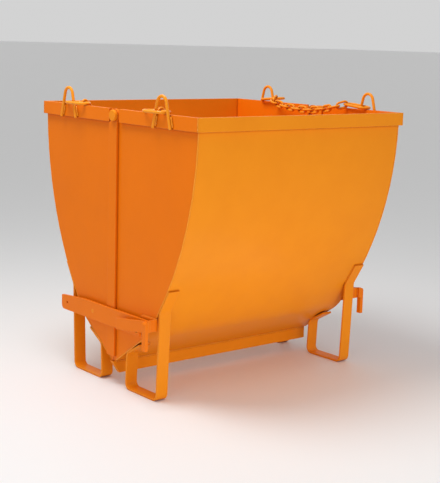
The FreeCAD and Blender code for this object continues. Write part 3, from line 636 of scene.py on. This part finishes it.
def right_places(sizes):
    """The first link hooks the long link's bend at an angle, the second turns and the others run straight."""
    hook, turning, straight_on = math.radians(60), math.radians(20), 5
    distance = sizes["ring_axis"] - sizes["ring_bend"] + sizes["ring_bend"] * math.cos(hook)
    wire = ring_point(ring_line("rear"), -sizes["ring_bend"] * math.sin(hook), distance, sizes["tilt"], sizes)
    start = wire + run_direction(hook, 0) * sizes["hook"]
    return both_halves(settled(start, [hook, turning] + [0] * straight_on, sizes))


def left_places(sizes):
    """The first link leans down from the long link's inner side, the others sag into the bucket."""
    lean, back_share, sagging = math.radians(45), 0.2, 8
    distance = sizes["ring_axis"] - sizes["ring_bend"] - back_share * settings("chain").ring_length
    wire = ring_point(ring_line("rear"), -sizes["ring_bend"], distance, 0, sizes)
    first = np.array([-math.cos(lean), 0, -math.sin(lean)])
    bend = wire + first * sizes["hook"]
    start = bend + first * sizes["straight"] - np.array([0, 0, sizes["joint"]])
    places = [(bend + first * sizes["straight"] / 2, first, np.array([0, 1.0, 0]))]
    places = both_halves(places + settled(start, [0] * sagging, sizes))
    return [tuple(part * np.array([-1, 1, 1]) for part in place) for place in places]


def link_surface(places, sizes):
    centres, directions, normals = (np.array([place[part] for place in places]) for part in range(3))
    return oblong_links(centres, directions, normals, sizes["straight"], sizes["bend"],
                        settings("chain").wire_radius, CHAIN_STEPS)


class BUCKET_OT_chains(bpy.types.Operator):
    """A chain between the long links at each end. Each is made in three runs: the links by the rear long link,
    the links in the middle and the links by the front long link"""
    bl_idname = "bucket.chains"
    bl_label = "Chains"

    def execute(self, context):
        sizes = chain_sizes()
        for end, places in (("right", right_places(sizes)), ("left", left_places(sizes))):
            node, count = "chain_" + end, len(places)
            rear, front = places[:HELD_LINKS], places[count - HELD_LINKS:]
            middle = places[HELD_LINKS:count - HELD_LINKS]
            runs = (("rear_run", rear, "rear_half", "rear_sling_link_" + end, (rear[-1], 1),
                     (rear[0], -HELD_SHARE)),
                    ("middle_run", middle, "rear_half", "front_half", (middle[0], -1), (middle[-1], 1)),
                    ("front_run", front, "front_half", "front_sling_link_" + end, (front[0], -1),
                     (front[-1], HELD_SHARE)))
            for run, links, near, far, start, finish in runs:
                piece = make_piece(node + "_" + run, [link_surface(links, sizes)], MATERIALS["wire_enamel"])
                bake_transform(piece)
                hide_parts(node)
        return {"FINISHED"}


class BUCKET_OT_long_links(bpy.types.Operator):
    """The long links through the lifting loops"""
    bl_idname = "bucket.long_links"
    bl_label = "Long links"

    def execute(self, context):
        sizes, chain = chain_sizes(), settings("chain")
        for half in HALVES:
            for end in ENDS:
                tilt = sizes["tilt"] if end == "right" else 0.0
                centre = ring_point(-ring_line(half), 0, sizes["ring_axis"] / 2, tilt, sizes)
                direction = np.array([0, -math.cos(tilt), math.sin(tilt)])
                normal = np.array([0, math.sin(tilt), math.cos(tilt)])
                part = oblong_links(centre[None], direction[None], normal[None],
                                    sizes["ring_axis"] - 2 * sizes["ring_bend"], sizes["ring_bend"],
                                    chain.ring_wire_radius, RING_STEPS)
                node = half + "_sling_link_" + end
                piece = make_piece(node + "_wire", [placed(part, end, half)], MATERIALS["wire_enamel"])
                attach(piece, node)
                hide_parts(node)
        return {"FINISHED"}


# Welds

def weld_piece(name, parts, body):
    piece = make_piece(name, parts, MATERIALS["weld_enamel"])
    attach(piece, body)
    return piece


class BUCKET_OT_shell_welds(bpy.types.Operator):
    """Beads along the walls' edges, under the rim and over the lips"""
    bl_idname = "bucket.shell_welds"
    bl_label = "Shell welds"

    def execute(self, context):
        weld = settings("weld")
        boss_edge, lip_end, sunk = 0.036, 0.004, 0.0006
        mitre_inset, mitre_end = (0.0004, 0.0022), 0.0005
        for half in HALVES:
            end_x = SHELL_END[half]
            seams, rims = [], []
            for number, end in enumerate(ENDS):
                yz = outline_between(RIM_BOTTOM, LIP_TOP + lip_end)
                path = seam_path(-end_x + sunk, yz - np.array([sunk, 0]))
                seams.append(placed(bead(path, (-1, 1, 0), weld.seam_radius, number * 1.7), end, half))
                path = [(-end_x, boss_edge, RIM_BOTTOM), (-end_x, WALL_DEPTH, RIM_BOTTOM)]
                rims.append(placed(bead(path, (-1, 0, -1), weld.rim_radius, number * 2.3), end, half))
                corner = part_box(half + "_rim_side")[0].x + mitre_inset[0], float(RIM_HIGH[1]) - mitre_inset[1]
                path = [(*corner, RIM_BOTTOM + mitre_end), (*corner, RIM_TOP - mitre_end)]
                rims.append(placed(bead(path, (-1, 1, 0), weld.seam_radius * 0.8, number * 4.1), end, half))
            path = [(-end_x, WALL_DEPTH, RIM_BOTTOM), (end_x, WALL_DEPTH, RIM_BOTTOM)]
            rims.append(placed(bead(path, (0, 1, -1), weld.rim_radius, 3.1), "left", half))
            path = [(-end_x + 0.001, LIP_FACE, LIP_TOP), (end_x - 0.001, LIP_FACE, LIP_TOP)]
            lip = placed(bead(path, (0, 1, -0.3), weld.lip_radius, 0.7, 1.6), "left", half)
            weld_piece(half + "_seam_beads", seams, half + "_half")
            weld_piece(half + "_rim_beads", rims, half + "_half")
            weld_piece(half + "_lip_bead", [lip], half + "_half")
        return {"FINISHED"}


class BUCKET_OT_loop_welds(bpy.types.Operator):
    """Beads on both sides of each leg of the lifting loops"""
    bl_idname = "bucket.loop_welds"
    bl_label = "Loop welds"

    def execute(self, context):
        weld = settings("weld")
        leg_lean, out_share, side_share = 0.78, 0.3, 0.35
        for half in HALVES:
            low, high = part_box(half + "_loop_left")
            wire = (high.x - low.x) / 2
            x = high.x - out_share * weld.loop_radius
            middle = abs(low.y + high.y) / 2
            foot_spread = (high.y - low.y) / 2 - wire
            top_spread = foot_spread * leg_lean
            parts = []
            for number, end in enumerate(ENDS):
                for leg in (-1, 1):
                    for side in (-1, 1):
                        offset = side * (wire + side_share * weld.loop_radius)
                        path = [(x, middle + leg * foot_spread + offset, RIM_BOTTOM + 0.004),
                                (x, middle + leg * top_spread + offset, RIM_TOP - 0.005)]
                        parts.append(placed(bead(path, (-1, side * 0.6, 0), weld.loop_radius,
                                                 number + leg * 0.3 + side * 0.7), end, half))
            weld_piece(half + "_loop_beads", parts, half + "_half")
        return {"FINISHED"}


class BUCKET_OT_foot_welds(bpy.types.Operator):
    """Beads round the feet's tabs on the walls and where the inner legs meet the walls' undersides"""
    bl_idname = "bucket.foot_welds"
    bl_label = "Foot welds"

    def execute(self, context):
        radius = settings("weld").foot_radius
        tab_end, leg_top, leg_bottom = 0.082, 0.176, 0.152
        for half in HALVES:
            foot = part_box(half + "_foot_left")
            outer, inner, top = -float(foot[0].x), -float(foot[1].x), float(foot[1].z)
            tab = outline_between(top - 0.003, top - tab_end, 30)
            under = outline_between(leg_top, leg_bottom, 12)
            parts = []
            for number, end in enumerate(ENDS):
                coarse = 1.8 if end == "right" else 1.0
                head = [(-outer + 0.002, *tab[0]), (-inner, *tab[0])]
                foot_of_leg = [(-outer + 0.002, *under[-1]), (-inner - 0.002, *under[-1])]
                for path, facing, size, seed in (
                        (head, (0, 1, 0.6), radius, 0.0),
                        (seam_path(-inner, tab), (1, 0.6, 0), radius * 0.8, 1.3),
                        (seam_path(-outer, tab - np.array([0.001, 0])), (-1, 0, 0), radius * 0.7, 2.1),
                        (foot_of_leg, (0, 0, -1), radius * 1.2, 0.4),
                        (seam_path(-inner, under), (1, 0.6, -0.8), radius, 0.9),
                        (seam_path(-outer, under), (-1, 0.6, -0.8), radius, 1.9)):
                    parts.append(placed(bead(path, facing, size, seed + number, coarse), end, half))
            weld_piece(half + "_foot_beads", parts, half + "_half")
        return {"FINISHED"}


class BUCKET_OT_strip_welds(bpy.types.Operator):
    """Beads along the seam strips' rear edges and lower ends, and round the hinge's ears inside"""
    bl_idname = "bucket.strip_welds"
    bl_label = "Strip and ear welds"

    def execute(self, context):
        small = settings("weld").small_radius
        face, ear_edge = -SHELL_END["rear"], 0.027
        strip_low, strip_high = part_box("seam_strip_left")
        rear_edge, foot_z = strip_high.y, strip_low.z
        low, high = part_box("hinge_lug_left")
        strips, ears = [], []
        for number, end in enumerate(ENDS):
            path = [(face, rear_edge, foot_z + 0.002), (face, rear_edge, RIM_BOTTOM - 0.003)]
            strips.append(placed(bead(path, (-1, 1, 0), small * 0.75, number * 1.1), end, "rear"))
            path = [(face, 0.002, foot_z), (face, rear_edge - 0.002, foot_z)]
            strips.append(placed(bead(path, (-1, 0, -1), small * 0.9, number * 2.7), end, "rear"))
            for z, up in ((high.z, 1), (low.z, -1)):
                path = [(low.x, -low.y - 0.002, z), (low.x, ear_edge, z)]
                ears.append(placed(bead(path, (1, 0, up), small, number + up * 0.4), end, "front"))
        weld_piece("seam_strip_beads", strips, "rear_half")
        weld_piece("hinge_lug_beads", ears, "front_half")
        return {"FINISHED"}


class BUCKET_OT_latch_welds(bpy.types.Operator):
    """Rings of weld round the levers' bushes and the catch pins, and beads on the catch plates and posts"""
    bl_idname = "bucket.latch_welds"
    bl_label = "Latch welds"

    def execute(self, context):
        small = settings("weld").small_radius
        bush_low, bush_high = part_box("lever_bush_left")
        pin_low, pin_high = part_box("catch_pin_left")
        strap_low, strap_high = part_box("catch_strap_left")
        plate_low, plate_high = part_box("catch_bracket_left")
        post_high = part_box("catch_post_left")[1]
        bush = np.array((bush_low + bush_high) / 2)
        pin = np.array((pin_low + pin_high) / 2)
        bush_radius, pin_radius = (bush_high.z - bush_low.z) / 2, (pin_high.z - pin_low.z) / 2
        face, strap, post = -SHELL_END["front"], strap_high.x, strap_low.x
        near, far, top, low = -plate_high.y, -plate_low.y, plate_high.z, plate_low.z
        post_y, post_top = -post_high.y, post_high.z
        proud, plate_bevel, plate_thick, strap_seam, post_seam = 0.0004, 0.012, 0.008, 0.036, 0.040
        rings, beads = [], []
        for number, end in enumerate(ENDS):
            for x in (-SHELL_END["rear"] - proud, float(PLATE_HIGH[0]) + proud):
                ring = ring_bead((x, bush[1], bush[2]), bush_radius, small, number)
                rings.append(placed(ring, end, "rear"))
            for x in (strap - proud, pin_high.x - proud):
                ring = ring_bead((x, -pin[1], pin[2]), pin_radius, small * 0.75, number)
                beads.append(placed(ring, end, "front"))
            for path, facing in (
                    ([(face, near + plate_bevel, top), (face, far - 0.002, top)], (-1, 0, 1)),
                    ([(face, near, low + 0.003), (face, near, top - plate_bevel - 0.001)], (-1, -1, 0)),
                    ([(strap, far, top - strap_seam), (strap, far, top - 0.004)], (1, 1, 0)),
                    ([(strap, far - plate_thick, top - strap_seam), (strap, far - plate_thick, top - 0.004)],
                     (1, -1, 0)),
                    ([(post, post_y, post_top - post_seam), (post, post_y, post_top - 0.006)], (-1, -1, 0))):
                beads.append(placed(bead(path, facing, small * 0.9, number + path[0][1] * 30), end, "front"))
        weld_piece("lever_bush_beads", rings, "rear_half")
        weld_piece("catch_beads", beads, "front_half")
        return {"FINISHED"}


# Split pins

def split_pin(centre, reach, wire):
    """Half-round wire folded into an eye and two legs that are spread at their ends, in the YZ plane.

    The flat side's middle line runs up one leg at y = 0.03 * wire, round a circle of radius 2 * wire above it
    and down the other leg. Below -0.62 * reach the legs leave each other by 1.7 * wire * t ** 2, with t from
    0 to 1. At an angle a the half-round side lies at wire * (outward * cos a + X * sin a).
    """
    t = np.linspace(1, 0, 8)
    leg_y = 0.03 * wire + 1.7 * wire * t ** 2
    leg_z = -reach * (0.62 + 0.38 * t)
    turn = np.radians(np.linspace(-62, 242, 33))
    eye_y, eye_z = 2 * wire * np.cos(turn), reach + 2 * wire + 2 * wire * np.sin(turn)
    y = np.concatenate([leg_y, [0.03 * wire], eye_y, [-0.03 * wire], -leg_y[::-1]])
    z = np.concatenate([leg_z, [reach - wire], eye_z, [reach - wire], leg_z[::-1]])
    path, distance = along(np.stack([np.zeros_like(y), y, z], -1), wire / 3)
    tangent = unit(np.gradient(path, axis=0))
    outward = np.stack([np.zeros(len(path)), tangent[:, 2], -tangent[:, 1]], -1)
    angle = np.radians(np.linspace(-90, 90, PIN_SIDES))
    rings = path[:, None] + wire * (np.cos(angle)[:, None] * outward[:, None]
                                    + np.sin(angle)[:, None] * np.array([1.0, 0, 0]))
    count = len(path)
    vertices = np.concatenate([rings.reshape(-1, 3), path[:1], path[-1:]]) + np.asarray(centre)
    return vertices, grid_faces(count, PIN_SIDES, False, True), end_caps(count, PIN_SIDES)


class BUCKET_OT_split_pins(bpy.types.Operator):
    """Split pins that keep the washers on the hinge pins and on the levers' pins"""
    bl_idname = "bucket.split_pins"
    bl_label = "Split pins"

    def execute(self, context):
        wire = settings("chain").split_wire
        groups = [("hinge_cotters", "rear_half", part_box("hinge_cotters"), tuple(ENDS))]
        for end in ENDS:
            groups.append(("lever_cotter_" + end, end + "_lever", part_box("lever_cotter_left"), (end,)))
        for node, body, (low, high), ends in groups:
            reach = (high.z - low.z - 6 * wire) / 2
            centre = (low.x + wire, (low.y + high.y) / 2, low.z + reach)
            parts = [placed(split_pin(centre, reach, wire), end, "rear") for end in ends]
            piece = make_piece(node + "_wire", parts, MATERIALS["pin_enamel"])
            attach(piece, body)
            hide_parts(node)
        return {"FINISHED"}


# Stage

class BUCKET_OT_stage(bpy.types.Operator):
    """Floor, light and camera"""
    bl_idname = "bucket.stage"
    bl_label = "Stage"

    def execute(self, context):
        stage = settings("stage")
        scene = context.scene
        floor_mesh = bpy.data.meshes.new("floor")
        corners = [(x * FLOOR_REACH, y * FLOOR_REACH, 0) for x, y in ((-1, -1), (1, -1), (1, 1), (-1, 1))]
        floor_mesh.from_pydata(corners, [], [(0, 1, 2, 3)])
        floor = bpy.data.objects.new("floor", floor_mesh)
        scene.collection.objects.link(floor)
        material = bpy.data.materials.new("floor_paint")
        material.use_nodes = True
        shader = material.node_tree.nodes["Principled BSDF"]
        shader.inputs["Base Color"].default_value = (*[stage.floor_shade] * 3, 1)
        shader.inputs["Roughness"].default_value = 0.6
        floor_mesh.materials.append(material)

        world = bpy.data.worlds.new("studio")
        scene.world = world
        world.use_nodes = True
        tree = world.node_tree
        background = tree.nodes["Background"]
        background.inputs["Color"].default_value = (1, 1, 1, 1)
        rays = add_node(tree, "ShaderNodeLightPath")
        seen = math_node(tree, "MAXIMUM", rays.outputs["Is Camera Ray"], rays.outputs["Is Glossy Ray"])
        seen = math_node(tree, "MAXIMUM", seen, rays.outputs["Is Transmission Ray"])
        strength = spread(tree, seen, 0.0, 1.0, stage.world_level, stage.backdrop_level)
        tree.links.new(strength, background.inputs["Strength"])

        camera_data = bpy.data.cameras.new("camera")
        camera_data.sensor_fit = "HORIZONTAL"
        camera_data.sensor_width = SENSOR
        camera_data.lens = FOCAL_LENGTH / VIEW_WIDTH * SENSOR
        camera = bpy.data.objects.new("camera", camera_data)
        scene.collection.objects.link(camera)
        yaw, pitch, roll = (math.radians(angle) for angle in (CAMERA_YAW, CAMERA_PITCH, CAMERA_ROLL))
        ahead = np.array([math.cos(yaw) * math.cos(pitch), math.sin(yaw) * math.cos(pitch), -math.sin(pitch)])
        right = np.array([math.sin(yaw), -math.cos(yaw), 0])
        down = np.cross(ahead, right)
        matrix = np.eye(4)
        matrix[:3, 0] = math.cos(roll) * right + math.sin(roll) * down
        matrix[:3, 1] = math.sin(roll) * right - math.cos(roll) * down
        matrix[:3, 2] = -ahead
        matrix[:3, 3] = CAMERA_PLACE
        camera.matrix_world = Matrix(matrix.tolist())
        scene.camera = camera

        for name, (place, aim, size) in LAMPS.items():
            data = bpy.data.lights.new(name + "_lamp", "AREA")
            data.shape = "DISK"
            data.size = size
            data.energy = getattr(stage, name + "_power")
            lamp = bpy.data.objects.new(name + "_lamp", data)
            scene.collection.objects.link(lamp)
            lamp.location = place
            lamp.visible_camera = False
            lamp.rotation_mode = "QUATERNION"
            lamp.rotation_quaternion = (Vector(aim) - lamp.location).to_track_quat("-Z", "Y")
        scene.view_settings.view_transform = "Standard"
        return {"FINISHED"}


GROUPS = {"paint": BucketPaint, "chain": BucketChain, "weld": BucketWeld, "stage": BucketStage}
OPERATORS = (BUCKET_OT_stage, BUCKET_OT_paint, BUCKET_OT_chains, BUCKET_OT_long_links, BUCKET_OT_shell_welds,
             BUCKET_OT_loop_welds, BUCKET_OT_foot_welds, BUCKET_OT_strip_welds, BUCKET_OT_latch_welds,
             BUCKET_OT_split_pins)


class BUCKET_PT_pieces(bpy.types.Panel):
    """Sizes and colours, then one button for each group of pieces"""
    bl_idname = "BUCKET_PT_pieces"
    bl_label = "Hoist bucket"
    bl_space_type = "VIEW_3D"
    bl_region_type = "UI"
    bl_category = "Bucket"

    def draw(self, context):
        for name, group in GROUPS.items():
            box = self.layout.box()
            for key in group.__annotations__:
                box.prop(settings(name), key)
        for operator in OPERATORS:
            self.layout.operator(operator.bl_idname)


def register():
    for each in (*GROUPS.values(), *OPERATORS, BUCKET_PT_pieces):
        bpy.utils.register_class(each)
    for name, group in GROUPS.items():
        setattr(bpy.types.Scene, "bucket_" + name, PointerProperty(type=group))


def unregister():
    for name in GROUPS:
        delattr(bpy.types.Scene, "bucket_" + name)
    for each in reversed((*GROUPS.values(), *OPERATORS, BUCKET_PT_pieces)):
        bpy.utils.unregister_class(each)


def main():
    register()
    bpy.ops.bucket.stage()
    bpy.ops.bucket.paint()
    bpy.ops.bucket.chains()
    bpy.ops.bucket.long_links()
    bpy.ops.bucket.shell_welds()
    bpy.ops.bucket.loop_welds()
    bpy.ops.bucket.foot_welds()
    bpy.ops.bucket.strip_welds()
    bpy.ops.bucket.latch_welds()
    bpy.ops.bucket.split_pins()


if __name__ == "__main__":
    main()
